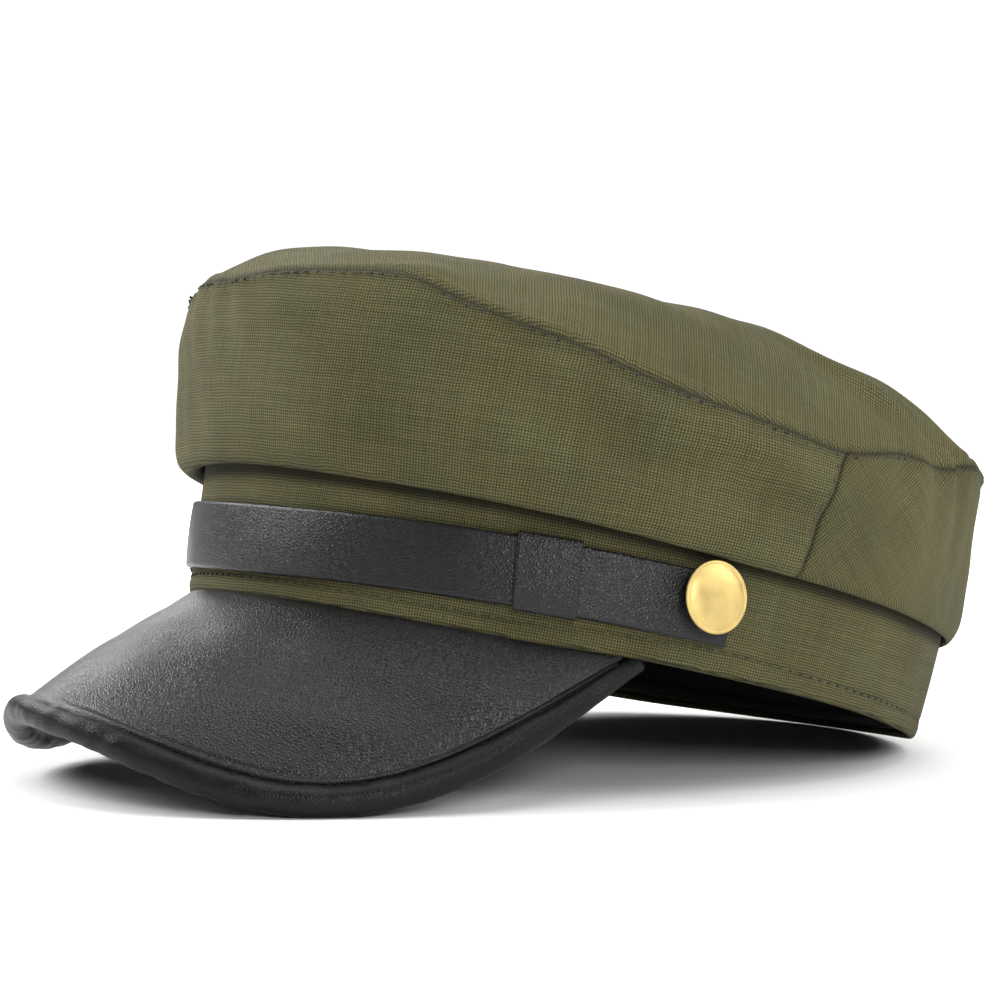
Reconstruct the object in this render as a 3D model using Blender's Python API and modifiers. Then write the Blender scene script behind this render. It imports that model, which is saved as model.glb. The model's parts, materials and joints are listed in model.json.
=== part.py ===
"""Military peaked cap: canvas crown and band, bound visor, front strap with two slides.

Everything is worked out in the cap's own frame in millimetres: the rim plane is z = 0,
the visor points to -Y and the wearer's left is +X.  stand_up() then leans the finished
cap back until it stands on the two low sides of the visor and the back of the rim, and
turns millimetres into metres.
"""
import math

import bmesh
import bpy
import numpy as np
from mathutils import Matrix, Vector

# ---- driving dimensions, millimetres and degrees ----
HALF_WIDTH = 91.15          # band outside, side to side / 2, at the rim
HALF_LENGTH = 97.0          # band outside, front to back / 2, at the rim
TAPER = 0.081               # outward lean of the band per mm of height
FOLD_Z = 26.8               # height of the crown fold at the sides
FOLD_SLOPE = 0.046          # the fold climbs towards the front
FOLD_DIP = 1.8              # but settles by this much in the middle of the front
CLOTH = 0.7                 # canvas with its backing
GAP = 0.3                   # space left between touching pieces
SEAM_WAVE = (67.2, 3.0, 6.8, 1.2)   # crown seam height: mean, then 1, 2, 3 waves round
DOME_TOP = 91.3             # middle of the crown
DOME_TILT = 0.042           # the crown falls towards the back
DOME_POWER = 4.0            # fullness of the crown's shoulder
WALL_FRONT = (9.6, 25.2, 0.0061)    # crown wall bulge: size, height above fold, sharpness
WALL_BACK = (1.8, 3.6, 0.003)
SIDE_SEAM = (-15.0, 0.185)  # y of the side seam at z = 0 and its lean
STRAP_WIDTH = 16.6
STRAP_FRONT = 12.3          # height of the strap's middle in front
STRAP_RISE = 2.75           # how much higher it runs at the sides
RISE_ANGLE = math.radians(60)
STRAP_IN, STRAP_THICK = 1.2, 1.2
STRAP_END = 76.0            # angle from the front to each end of the strap
BUTTON_ANGLE = 71.9
BUTTON_Z = 17.0
BUTTON_R = 8.7
BUTTON_LEAN = (0.967, -0.104, 0.072)    # way the left button faces
POST_R = 1.5
KEEPER_ANGLE = 50.0
KEEPER_HALF = 4.35          # half the slide's width, degrees
KEEPER_SKEW = 0.095         # the slides lean: shift round the band per mm of height
STRAP_RADIUS = 93.0         # mean radius of the strap
ROLL_R = 3.7                # rolled edge of the visor
BINDING = 0.9               # leather of the rolled edge
VISOR_END = 66.5            # angle where the visor leaves the band
EDGE_X = (116.5, -30.2, -5.2)            # odd powers of u
EDGE_Y = (-144.5, 126.6, -26.1)         # even powers of u
EDGE_Z = (-40.0, -77.4, 202.0, -86.7)

COLOURS = {
    "canvas": (0.105, 0.098, 0.045),
    "leather": (0.012, 0.012, 0.013),
    "lining": (0.018, 0.018, 0.018),
    "board": (0.06, 0.05, 0.04),
    "white_board": (0.55, 0.54, 0.5),
    "brass": (0.72, 0.52, 0.2),
    "steel": (0.5, 0.5, 0.5),
}


def fresh_file():
    for obj in list(bpy.data.objects):
        bpy.data.objects.remove(obj, do_unlink=True)
    parts = bpy.data.collections.new("military_peaked_cap")
    cutters = bpy.data.collections.new("cutters")
    bpy.context.scene.collection.children.link(parts)
    bpy.context.scene.collection.children.link(cutters)
    return parts, cutters


PARTS, CUTTERS = fresh_file()
PIVOTS = {}


# ---- the cap's shape as formulas ----
def around(phi, offset, z):
    """Point at angle phi from the front, offset outward from the band's outer face."""
    flat = Vector((HALF_WIDTH * math.sin(phi), -HALF_LENGTH * math.cos(phi), 0.0))
    out = Vector((math.sin(phi) / HALF_WIDTH, -math.cos(phi) / HALF_LENGTH, 0.0)).normalized()
    return flat + out * (offset + TAPER * z) + Vector((0.0, 0.0, z))


def button_spot(side):
    """Where the left (1) or right (-1) button's line meets the band's outer face."""
    return around(side * math.radians(BUTTON_ANGLE), 0.0, BUTTON_Z)


def fold_z(phi):
    front = 0.5 + 0.5 * math.cos(phi)
    return FOLD_Z + FOLD_SLOPE * HALF_LENGTH * math.cos(phi) - FOLD_DIP * front ** 2


def strap_mid(phi):
    """Height of the strap's middle: level in front, rising smoothly towards the buttons."""
    t = min(abs(phi) / RISE_ANGLE, 1.0)
    return STRAP_FRONT + STRAP_RISE * t * t * (3.0 - 2.0 * t)


def button_way(side):
    return Vector((side * BUTTON_LEAN[0], BUTTON_LEAN[1], BUTTON_LEAN[2])).normalized()


def seam_z(phi):
    return sum(c * math.cos(k * phi) for k, c in enumerate(SEAM_WAVE))


def wall_offset(phi, h):
    """How far the crown wall stands out, h above the fold: front and back bulges blended."""
    w = 0.5 + 0.5 * math.cos(phi)
    size, height, sharp = (b + (f - b) * w for f, b in zip(WALL_FRONT, WALL_BACK))
    return size - sharp * (h - height) ** 2


def crown_wall(phi, v, inset=0.0, low=5.0, drop=0.9):
    """Crown wall from low above the fold (v = 0) to just under the seam (v = 1)."""
    base = fold_z(phi)
    h = low + (seam_z(phi) - drop - base - low) * v
    return around(phi, wall_offset(phi, h) - CLOTH / 2 - inset, base + h)


def crown_dome(phi, r, inset=0.0):
    """Crown top: r = 0 in the middle, r = 1 on the seam."""
    z = seam_z(phi) + 0.4
    edge = around(phi, wall_offset(phi, z - fold_z(phi)) - CLOTH / 2 - 0.5, z)
    x, y = edge.x * r, edge.y * r
    rise = DOME_TOP - DOME_TILT * y - CLOTH / 2 - z
    return Vector((x, y, z + rise * (1.0 - r ** DOME_POWER) - inset))


def visor_edge(u):
    x = sum(c * u ** (2 * k + 1) for k, c in enumerate(EDGE_X))
    y = sum(c * u ** (2 * k) for k, c in enumerate(EDGE_Y))
    z = sum(c * u ** (2 * k) for k, c in enumerate(EDGE_Z))
    return Vector((x, y, z))


def visor_frame(u):
    """Middle of the rolled edge, its inward direction and the visor's upward normal."""
    p = visor_edge(u)
    t = (visor_edge(u + 0.002) - visor_edge(u - 0.002)).normalized()
    d = around(math.radians(0.9 * u * VISOR_END), 0.0, -3.1) - p
    inward = (d - t * d.dot(t)).normalized()
    up = inward.cross(t).normalized()
    return p, inward, up if up.z > 0 else -up


def visor_mid(u, v):
    """Visor mid-surface from the rim line (v = 0) to the rolled edge (v = 1)."""
    u = 0.94 * u
    p, inward, up = visor_frame(u)
    start = around(math.radians(0.93 * u * VISOR_END), -0.2, -3.4)
    bulge = 1.6 * math.sin(math.pi * v) * (1.0 - u * u)
    return start.lerp(p + inward * 3.1, v) + Vector((0.0, 0.0, bulge))


def visor_sheet(u, v, level):
    """Visor mid-surface raised by level along its own normal."""
    across = visor_mid(u + 0.01, v) - visor_mid(u - 0.01, v)
    along = visor_mid(u, v + 0.01) - visor_mid(u, v - 0.01)
    up = along.cross(across).normalized()
    return visor_mid(u, v) + (up if up.z > 0 else -up) * level


# ---- modelling helpers ----
def add(bm, name, home=None):
    mesh = bpy.data.meshes.new(name)
    bm.to_mesh(mesh)
    bm.free()
    obj = bpy.data.objects.new(name, mesh)
    (home or PARTS).objects.link(obj)
    return obj


def apply_modifiers(obj):
    deps = bpy.context.evaluated_depsgraph_get()
    mesh = bpy.data.meshes.new_from_object(obj.evaluated_get(deps))
    obj.modifiers.clear()
    obj.data = mesh
    mesh.name = obj.name


def patch(name, cols, rows, shape, thick, home=None):
    """A flat grid laid over shape(u, v) and thickened evenly to both sides."""
    bm = bmesh.new()
    bmesh.ops.create_grid(bm, x_segments=cols, y_segments=rows, size=0.5)
    for vert in bm.verts:
        vert.co = shape(vert.co.x + 0.5, vert.co.y + 0.5)
    bmesh.ops.remove_doubles(bm, verts=bm.verts, dist=0.002)
    bmesh.ops.recalc_face_normals(bm, faces=bm.faces)
    obj = add(bm, name, home)
    solid = obj.modifiers.new("Thickness", "SOLIDIFY")
    solid.thickness = thick
    solid.offset = 0.0
    apply_modifiers(obj)
    face_out(obj)
    return obj


def face_out(obj):
    bm = bmesh.new()
    bm.from_mesh(obj.data)
    bmesh.ops.recalc_face_normals(bm, faces=bm.faces)
    bm.to_mesh(obj.data)
    bm.free()


def turned(name, profile, steps, home=None):
    """A solid of revolution about Z; the profile runs from axis to axis or closes."""
    bm = bmesh.new()
    verts = [bm.verts.new((r, 0.0, z)) for r, z in profile]
    pairs = list(zip(verts, verts[1:]))
    if profile[0][0] > 0.01:
        pairs.append((verts[-1], verts[0]))
    for a, b in pairs:
        bm.edges.new((a, b))
    obj = add(bm, name, home)
    screw = obj.modifiers.new("Turn", "SCREW")
    screw.steps = steps
    screw.render_steps = steps
    screw.use_merge_vertices = True
    screw.merge_threshold = 0.0001
    apply_modifiers(obj)
    face_out(obj)
    return obj


def cut(obj, cutter):
    """Take the cutter's shape out of obj."""
    cutter.hide_render = True
    cutter.display_type = "WIRE"
    boolean = obj.modifiers.new("Cut", "BOOLEAN")
    boolean.operation = "DIFFERENCE"
    boolean.solver = "EXACT"
    boolean.object = cutter
    apply_modifiers(obj)
    return obj


def aim(obj, side):
    """Turn a piece made about Z so its Z points the button's way, and move it on to the band."""
    turn = button_way(side).to_track_quat("Z", "Y").to_matrix().to_4x4()
    obj.data.transform(Matrix.Translation(button_spot(side)) @ turn)
    return obj


def ring(name, cols, rows, low, high, offset, thick):
    """A closed band round the head between heights low(phi) and high(phi)."""
    def shape(u, v):
        phi = 2 * math.pi * u
        z = low(phi) + (high(phi) - low(phi)) * v
        return around(phi, offset, z)
    return patch(name, cols, rows, shape, thick)


def split_by_plane(obj, point, normal):
    """Keep only the side of the piece the normal points away from, and close the cut."""
    bm = bmesh.new()
    bm.from_mesh(obj.data)
    geom = bm.verts[:] + bm.edges[:] + bm.faces[:]
    bmesh.ops.bisect_plane(bm, geom=geom, plane_co=point, plane_no=normal, clear_outer=True)
    bmesh.ops.holes_fill(bm, edges=[e for e in bm.edges if e.is_boundary], sides=0)
    bm.to_mesh(obj.data)
    bm.free()
    return obj


def paint(obj, kind, rough, metal=0.0):
    mat = bpy.data.materials.new(obj.name + "_mat")
    mat.use_nodes = True
    shader = mat.node_tree.nodes["Principled BSDF"]
    shader.inputs["Base Color"].default_value = (*COLOURS[kind], 1.0)
    shader.inputs["Roughness"].default_value = rough
    shader.inputs["Metallic"].default_value = metal
    obj.data.materials.clear()
    obj.data.materials.append(mat)
    return obj


# ---- crown ----
def hooked_wall(u, v):
    """Whole crown wall: a lip tucked behind the fold, round the fold, then up the wall."""
    phi = 2 * math.pi * u
    rows = 9
    step = round(v * rows)
    first = wall_offset(phi, 5.0) - CLOTH / 2
    spread = first - 0.8
    hook = ((0.8, 3.4), (0.85, 1.5), (0.85 + 0.35 * spread, 0.55), (0.85 + 0.75 * spread, 1.5))
    if step < len(hook):
        offset, h = hook[step]
        return around(phi, offset, fold_z(phi) + h)
    return crown_wall(phi, (step - 4) / (rows - 4))


def crown_panels():
    lean = SIDE_SEAM[1]
    normal = Vector((0.0, 1.0, -lean)).normalized()
    spot = Vector((0.0, SIDE_SEAM[0], 0.0))
    front = patch("crown_front_panel", 56, 9, hooked_wall, CLOTH)
    split_by_plane(front, spot - normal * GAP / 2, normal)
    back = patch("crown_rear_panel", 56, 9, hooked_wall, CLOTH)
    split_by_plane(back, spot + normal * GAP / 2, -normal)
    top = patch("crown_top_panel", 56, 6,
                lambda u, v: crown_dome(2 * math.pi * u, math.sin(v * math.pi / 2)), CLOTH)
    for obj in (front, back, top):
        paint(obj, "canvas", 0.9)


def crown_inside():
    def stiff(u, v):
        phi = math.radians(-70 + 140 * u)
        return crown_wall(phi, v, inset=2.7, low=8.0, drop=6.0)
    paint(patch("front_interlining", 18, 3, stiff, 0.8), "white_board", 0.8)
    paint(patch("lining_side", 40, 3,
                lambda u, v: crown_wall(2 * math.pi * u, v, inset=4.0, low=7.0, drop=7.5), 0.5),
          "lining", 0.7)

    def under_top(u, v):
        return crown_dome(2 * math.pi * u, 0.95 * math.sin(v * math.pi / 2), inset=4.5)
    paint(patch("lining_top", 40, 4, under_top, 0.5), "lining", 0.7)


# ---- band ----
def post_hole(name, side, radius):
    tool = turned(name, [(0.0, -9.0), (radius, -9.0), (radius, 9.0), (0.0, 9.0)], 16, CUTTERS)
    return aim(tool, side)


def head_band():
    cover = ring("headband_cover", 56, 2, lambda p: 0.0, lambda p: fold_z(p) + 3.8, -0.35, 0.7)
    stiff = ring("headband_stiffener", 56, 1, lambda p: 1.2, lambda p: fold_z(p) + 1.0,
                 -1.6, 1.0)
    sweat = ring("sweatband", 56, 1, lambda p: 0.8, lambda p: 31.0, -5.1, 0.8)
    for vert in cover.data.vertices:
        if vert.co.z < 0.2:
            vert.co.z = 0.0
    for side, tag in ((1, "left"), (-1, "right")):
        hole = post_hole("post_hole_" + tag, side, POST_R + GAP)
        cut(cover, hole)
        cut(stiff, hole)
    paint(cover, "canvas", 0.9)
    paint(stiff, "white_board", 0.6)
    paint(sweat, "leather", 0.5)


# ---- visor ----
def visor():
    paint(patch("visor_top_cover", 26, 5, lambda u, v: visor_sheet(2 * u - 1, v, 1.55), 0.9),
          "leather", 0.42)
    paint(patch("visor_under_cover", 26, 5, lambda u, v: visor_sheet(2 * u - 1, v, -1.55), 0.9),
          "leather", 0.6)

    def board(u, v):
        """The board runs up inside the band as a tab before it turns out into the visor."""
        side = 2 * u - 1
        step = round(v * 7)
        if step < 2:
            phi = math.radians(0.93 * 0.94 * side * VISOR_END)
            return around(phi, -3.4, 9.0 - 8.6 * step)
        return visor_sheet(side, 0.02 + 0.98 * (step - 2) / 5, 0.0)
    paint(patch("visor_board", 26, 7, board, 1.2), "board", 0.8)

    def cord(u, v):
        p, inward, up = visor_frame(0.97 * (2 * u - 1))
        a = 2 * math.pi * v
        return p + inward * (1.1 * math.cos(a)) + up * (1.1 * math.sin(a))
    tube = patch_tube("visor_edge_cord", 30, 6, cord)
    paint(tube, "board", 0.9)

    mid_radius = ROLL_R - BINDING / 2

    def binding(u, v):
        """Open at the inside: two flanges over the visor and a half round between them."""
        p, inward, up = visor_frame(0.975 * (2 * u - 1))
        flat = ((5.0, 2.8), (3.0, 2.95), (1.0, 3.15))
        step = round(v * 10)
        if step < 3:
            s, n = flat[step]
        elif step > 7:
            s, n = flat[10 - step]
            n = -n
        else:
            a = math.pi * (step - 3 + 0.5) / 5
            s, n = -mid_radius * math.sin(a), mid_radius * math.cos(a)
        return p + inward * s + up * n
    paint(patch("visor_edge_binding", 32, 10, binding, BINDING), "leather", 0.4)


def patch_tube(name, cols, rows, shape):
    """A grid rolled into a tube by shape(u, v), with both ends filled."""
    bm = bmesh.new()
    bmesh.ops.create_grid(bm, x_segments=cols, y_segments=rows, size=0.5)
    for vert in bm.verts:
        vert.co = shape(vert.co.x + 0.5, vert.co.y + 0.5)
    bmesh.ops.remove_doubles(bm, verts=bm.verts, dist=0.002)
    bmesh.ops.holes_fill(bm, edges=[e for e in bm.edges if e.is_boundary], sides=0)
    bmesh.ops.recalc_face_normals(bm, faces=bm.faces)
    return add(bm, name)


# ---- strap, slides and buttons ----
def curved_slab(name, cols, mid, half, inner, thick, tall, skew=0.0, home=None):
    """A plate that follows the band and the strap's rise: mid and half are angles in degrees."""
    def shape(u, v):
        up = tall * (v - 0.5)
        phi = math.radians(mid + half * (2 * u - 1)) - skew * up / STRAP_RADIUS
        return around(phi, inner + thick / 2, strap_mid(phi) + up)
    return patch(name, cols, 1, shape, thick, home)


def front_strap():
    strap = curved_slab("front_strap", 44, 0.0, STRAP_END, STRAP_IN, STRAP_THICK, STRAP_WIDTH)
    for side, tag in ((1, "left"), (-1, "right")):
        cut(strap, post_hole("strap_hole_" + tag, side, POST_R + 0.5))
    paint(strap, "leather", 0.4)
    PIVOTS["front_strap"] = (button_spot(1) + button_spot(-1)) / 2


def curve_centre(phi):
    """Middle of the circle that best fits the band's outline at phi."""
    a, b = HALF_WIDTH, HALF_LENGTH
    x = (a * a - b * b) / a * math.sin(phi) ** 3
    y = (a * a - b * b) / b * math.cos(phi) ** 3
    return Vector((x, y, strap_mid(phi)))


def keeper(side, tag):
    mid, skew = side * KEEPER_ANGLE, side * KEEPER_SKEW
    outer = curved_slab("keeper_" + tag, 5, mid, KEEPER_HALF, 0.45, 2.95,
                        STRAP_WIDTH + 1.8, skew)
    inner = curved_slab("keeper_hole_" + tag, 7, mid, KEEPER_HALF + 2.0, 0.85, 1.95,
                        STRAP_WIDTH + 0.7, skew, CUTTERS)
    paint(cut(outer, inner), "leather", 0.4)
    PIVOTS[outer.name] = curve_centre(math.radians(mid))


def button(side, tag):
    rim = BUTTON_R
    shell = turned("button_" + tag, [
        (0.0, 6.1), (1.8, 6.1), (1.8, 5.1), (rim - 0.5, 5.1), (rim, 5.5), (rim, 6.1),
        (rim - 0.5, 6.6), (rim - 1.2, 6.5), (5.7, 7.3), (3.0, 7.9), (0.0, 8.1)], 24)
    post = turned("button_post_" + tag, [
        (0.0, -4.0), (1.9, -4.0), (1.9, -3.6), (POST_R, -3.6), (POST_R, 5.8), (0.0, 5.8)], 16)
    washer = turned("button_washer_" + tag, [
        (POST_R + GAP, -3.5), (3.0, -3.5), (3.0, -3.1), (POST_R + GAP, -3.1)], 20)
    for obj in (shell, post, washer):
        aim(obj, side)
        PIVOTS[obj.name] = button_spot(side)
    paint(shell, "brass", 0.3, 1.0)
    paint(post, "brass", 0.35, 1.0)
    paint(washer, "steel", 0.4, 1.0)


# ---- standing pose ----
def world_points(objects):
    return np.array([v.co[:] for o in objects for v in o.data.vertices])


def rest_tilt(points):
    """Lean at which the visor's sides and the back of the rim touch the ground together."""
    low, high = 0.0, math.radians(30)
    for _ in range(40):
        mid = (low + high) / 2
        z = points[:, 2] * math.cos(mid) - points[:, 1] * math.sin(mid)
        front = z[points[:, 1] < 0].min()
        back = z[points[:, 1] > 0].min()
        if front < back:
            low = mid
        else:
            high = mid
    return (low + high) / 2


def stand_up():
    objects = list(PARTS.objects)
    turn = Matrix.Rotation(-rest_tilt(world_points(objects)), 4, "X")
    for obj in objects + list(CUTTERS.objects):
        obj.data.transform(turn)
    points = world_points(objects)
    low, high = points.min(axis=0), points.max(axis=0)
    base = Vector(((low[0] + high[0]) / 2, (low[1] + high[1]) / 2, low[2]))
    to_metres = Matrix.Scale(0.001, 4) @ Matrix.Translation(-base)
    for obj in objects + list(CUTTERS.objects):
        obj.data.transform(to_metres)
    for obj in objects:
        if obj.name in PIVOTS:
            spot = to_metres @ turn @ PIVOTS[obj.name]
            obj.data.transform(Matrix.Translation(-spot))
            obj.location = spot
        face_out(obj)
        obj.data.shade_smooth()
        obj.data.set_sharp_from_angle(angle=math.radians(40))


crown_panels()
crown_inside()
head_band()
visor()
front_strap()
for hand, word in ((1, "left"), (-1, "right")):
    keeper(hand, word)
    button(hand, word)
stand_up()
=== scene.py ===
"""Looks of a military peaked cap: woven olive canvas, black grained visor and strap, brass buttons.

Shapes are worked out in the cap's own frame, in millimetres: the rim plane is z = 0, the visor
points to -y and the wearer's left is +x.  world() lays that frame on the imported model, using the
middle and the direction of the head opening.
"""
import json
import math

import bmesh
import bpy
import numpy as np
from mathutils import Matrix, Vector

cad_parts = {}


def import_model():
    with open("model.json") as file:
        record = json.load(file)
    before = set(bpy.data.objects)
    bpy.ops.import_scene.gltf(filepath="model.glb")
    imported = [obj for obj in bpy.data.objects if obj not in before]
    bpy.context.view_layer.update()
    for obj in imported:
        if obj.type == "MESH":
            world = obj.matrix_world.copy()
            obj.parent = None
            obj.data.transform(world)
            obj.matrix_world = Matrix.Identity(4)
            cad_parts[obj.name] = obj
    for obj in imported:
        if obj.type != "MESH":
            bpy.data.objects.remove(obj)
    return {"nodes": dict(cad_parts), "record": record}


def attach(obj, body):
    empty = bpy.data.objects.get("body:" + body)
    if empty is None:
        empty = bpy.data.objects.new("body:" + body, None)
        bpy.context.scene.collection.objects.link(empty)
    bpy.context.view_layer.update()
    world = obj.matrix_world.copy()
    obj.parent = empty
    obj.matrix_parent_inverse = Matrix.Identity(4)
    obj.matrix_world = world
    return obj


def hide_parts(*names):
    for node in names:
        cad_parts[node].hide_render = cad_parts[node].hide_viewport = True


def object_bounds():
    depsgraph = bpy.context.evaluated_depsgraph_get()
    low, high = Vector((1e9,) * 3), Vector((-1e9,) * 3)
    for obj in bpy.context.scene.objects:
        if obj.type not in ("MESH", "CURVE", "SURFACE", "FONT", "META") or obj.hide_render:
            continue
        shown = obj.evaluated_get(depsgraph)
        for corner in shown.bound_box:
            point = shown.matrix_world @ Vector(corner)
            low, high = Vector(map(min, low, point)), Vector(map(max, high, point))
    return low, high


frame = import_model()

CAD_LOW, CAD_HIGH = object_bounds()
NODES = frame["nodes"]
TAU = 2 * math.pi

# ---- the cap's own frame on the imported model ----
MOUNTS = {m["name"]: m for m in frame["record"]["mounts"]}
RIM = np.array(MOUNTS["head_opening"]["pos_m"])
UP = -np.array(MOUNTS["head_opening"]["axis"])
ACROSS = np.array([1.0, 0.0, 0.0])
REAR = np.cross(UP, ACROSS)


def world(p):
    """Cap-frame millimetres to the model's metres."""
    return RIM + 0.001 * (p[..., 0:1] * ACROSS + p[..., 1:2] * REAR + p[..., 2:3] * UP)


def in_cap(node):
    """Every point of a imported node, in cap-frame millimetres."""
    co = np.empty(len(NODES[node].data.vertices) * 3)
    NODES[node].data.vertices.foreach_get("co", co)
    p = (co.reshape(-1, 3) - RIM) * 1000.0
    return np.stack([p @ ACROSS, p @ REAR, p @ UP], axis=-1)


# ---- driving sizes, millimetres and degrees ----
RIM_RING = in_cap("headband_cover")
RIM_RING = RIM_RING[RIM_RING[:, 2] < 0.5]
HALF_WIDTH = RIM_RING[:, 0].max()
HALF_LENGTH = -RIM_RING[:, 1].min()
TAPER = 0.081
STRAP_WIDTH, STRAP_INNER, STRAP_THICK, STRAP_END = 16.6, 1.2, 1.3, 76.0
STRAP_FRONT, STRAP_RISE, RISE_ANGLE = 12.3, 2.75, 60.0
BUTTON_ANGLE, BUTTON_Z = 71.9, 17.0
BUTTON_LEAN = (0.967, -0.104, 0.072)
KEEPER_ANGLE, KEEPER_HALF, KEEPER_SKEW = 50.0, 4.35, 0.095
FOLD_Z, FOLD_SLOPE, FOLD_DIP = 26.8, 0.046, 1.8
SEAM_WAVE = (67.2, 3.0, 6.8, 1.2)           # mean height, then once, twice and three times round
DOME_TOP, DOME_TILT = 90.8, 0.045
WALL_FRONT, WALL_BACK = (9.6, 25.2, 0.0061), (1.8, 3.6, 0.0030)     # bulge, its height, its bend
SIDE_SEAM, SIDE_LEAN = -15.0, 0.185
VISOR_END = 66.5
ROLL_R = 3.7
EDGE_X = (116.5, -30.2, -5.2)               # factors of u, u**3, u**5
EDGE_Y = (-144.5, 126.6, -26.1)             # factors of 1, u**2, u**4
EDGE_Z = (-40.0, -77.4, 202.0, -86.7)       # factors of 1, u**2, u**4, u**6
MEAN_R = (HALF_WIDTH + HALF_LENGTH) / 2
STRAP_R = 93.0
CROWN_REACH = 98.0
WALL_MM = 1.68        # width of one degree of the crown wall at the side seam
CLOTH = 0.7
WEAVE = 0.69
STITCH = 3.4
STITCH_Z = 4.5
HOOK = 0.2            # share of the wall's rows that go into the half round at the fold


# ---- small tools for arrays ----
def bump(x, middle, width):
    """One soft hump of height 1."""
    return np.exp(-((x - middle) / width) ** 2)


def step(x, low, high):
    """Smooth step from 0 at low to 1 at high."""
    t = np.clip((x - low) / (high - low), 0.0, 1.0)
    return t * t * (3.0 - 2.0 * t)


def ripple(p, length, seed):
    """Sum of 12 plane waves about length long, in seeded directions; runs about -1 to 1."""
    waves = 12
    rng = np.random.default_rng(seed)
    k = rng.normal(size=(waves, 3))
    k *= (TAU / length * rng.uniform(0.6, 1.5, waves) / np.linalg.norm(k, axis=1))[:, None]
    return np.sin(p @ k.T + rng.uniform(0, TAU, waves)).sum(axis=-1) / math.sqrt(waves)


def degrees(phi):
    """Angle from the front, -180 to 180, positive on the wearer's left."""
    return np.degrees((phi + math.pi) % TAU - math.pi)


def unit(v):
    """Vectors divided by their own length."""
    return v / np.linalg.norm(v, axis=-1, keepdims=True)


def settle(p, times):
    """Each row becomes a half of itself and a quarter of each neighbour; the end rows stay."""
    for _ in range(times):
        p[1:-1] = 0.25 * p[:-2] + 0.5 * p[1:-1] + 0.25 * p[2:]
    return p


def full_turn(cols):
    """Angles of cols even columns, and the same with the first one again at the end for the cloth."""
    return (np.arange(cols) / cols * TAU)[None, :], np.linspace(0, TAU, cols + 1)[None, :]


# ---- the cap's shape ----
def oval(phi, offset, z):
    """Ellipse of the band at angle phi, moved out by offset plus the band's lean times z.

    The wearer's right front is a little flatter than the ellipse."""
    s, c = np.sin(phi), np.cos(phi)
    nx, ny = s / HALF_WIDTH, -c / HALF_LENGTH
    flat = 0.7 * bump(degrees(phi), -40, 28) * (1 - step(z, 38, 62))
    reach = (offset + TAPER * z - flat) / np.hypot(nx, ny)
    return np.stack(np.broadcast_arrays(HALF_WIDTH * s + nx * reach,
                                        -HALF_LENGTH * c + ny * reach, z), axis=-1)


def arc_length(phi):
    """Distance round the band from the front, near enough for laying out cloth."""
    return phi * MEAN_R


def ring(phi, z):
    """Point on a plain round ring, so that a ripple read there meets itself after a full turn."""
    return np.stack(np.broadcast_arrays(MEAN_R * np.sin(phi), -MEAN_R * np.cos(phi), z), axis=-1)


def fold_z(phi):
    """Height of the fold: sloped front to back, lower in front, uneven by two small waves."""
    wave = 0.25 * np.sin(3 * phi + 0.6) + 0.2 * np.sin(7 * phi + 2.0)
    dip = FOLD_DIP * (0.5 + 0.5 * np.cos(phi)) ** 2
    return FOLD_Z + FOLD_SLOPE * HALF_LENGTH * np.cos(phi) - dip + wave


def seam_z(phi):
    """Height of the crown seam: a mean and three waves round, then where the cloth drops or lifts."""
    d = degrees(phi)
    z = sum(c * np.cos(k * phi) for k, c in enumerate(SEAM_WAVE))
    z = z + 1.2 * bump(d, 46, 16) - 1.0 * bump(d, 74, 10) + 2.6 * bump(d, 130, 8)
    z = z + 3.0 * bump(d, 24, 9) - 3.4 * bump(d, -7, 12) - 2.0 * bump(d, 86, 7)
    z = z + 1.6 * bump(d, 100, 6) - 1.2 * bump(d, 60, 9) + 2.0 * bump(d, 121, 9)
    z = z - 1.5 * bump(d, -44, 10) + 1.4 * bump(d, -70, 9) - 1.4 * bump(d, -100, 8)
    return z + 1.2 * bump(abs(d), 180, 14) - 1.0 * bump(abs(d), 150, 9)


def wall_offset(phi, h):
    """Outward bulge of the crown wall, h above the fold, blended from back to front."""
    w = 0.5 + 0.5 * np.cos(phi)
    size, height, sharp = (b + (f - b) * w for f, b in zip(WALL_FRONT, WALL_BACK))
    return size - sharp * (h - height) ** 2


def side_seam_angle(h):
    """Angle of the side seam h above the fold, from where its leaning line crosses the ellipse."""
    y = SIDE_SEAM + SIDE_LEAN * (FOLD_Z + h)
    return np.degrees(np.arccos(np.clip(-y / (HALF_LENGTH + 5.0), -1, 1)))


# angle, width and height of each small pleat
GATHERS = ((99, 2.2, -0.7), (104, 2.4, 1.0), (109.5, 2.2, -1.5), (114, 1.8, 1.2), (118, 1.6, -1.6),
           (122.5, 2.0, 1.3), (128, 2.4, -1.2), (136, 3.0, 0.9), (143, 2.2, -1.2), (151, 3.2, 1.0),
           (160, 2.6, -1.4), (169, 2.6, 1.1), (177, 2.4, -1.1))


def gathers(phi):
    """Small pleats that the seam takes up round the back, left side a little off the right."""
    d = degrees(phi)
    right = sum(a * bump(d, m, w) for m, w, a in GATHERS)
    return right + sum(0.9 * a * bump(-d, m + 2.5, w * 1.1) for m, w, a in GATHERS[:-1])


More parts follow.
